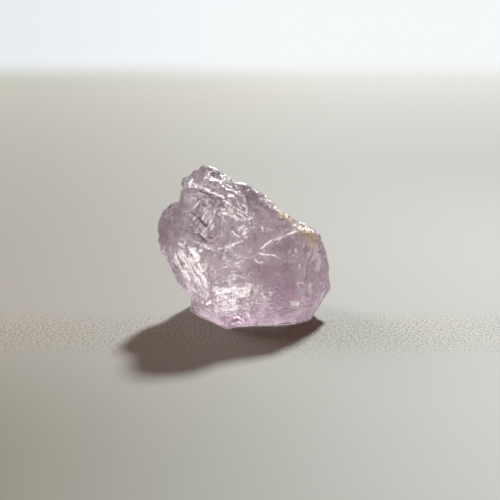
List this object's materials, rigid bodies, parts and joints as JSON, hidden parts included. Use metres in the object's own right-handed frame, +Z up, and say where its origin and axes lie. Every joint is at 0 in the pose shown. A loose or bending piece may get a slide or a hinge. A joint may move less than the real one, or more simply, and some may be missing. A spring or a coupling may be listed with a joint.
{
  "type": "rough kunzite crystal",
  "caption": "Rough, see-through pale lilac crystal with a stubby peak, sloped shoulder and flaked cleavage faces, lying on a flat break.",
  "frame": {"origin": "a point on the flat break the crystal lies on, near the middle of its footprint", "axes": "+X along the longest side, towards the low shoulder; +Y to the back; +Z up from the surface it lies on"},
  "size_m": [0.0302, 0.0204, 0.0257],
  "materials": {
    "kunzite": "translucent, satin to glossy broken crystal"
  },
  "bodies": {
    "root": {"kunzite_crystal": "kunzite"}
  },
  "joints": []
}
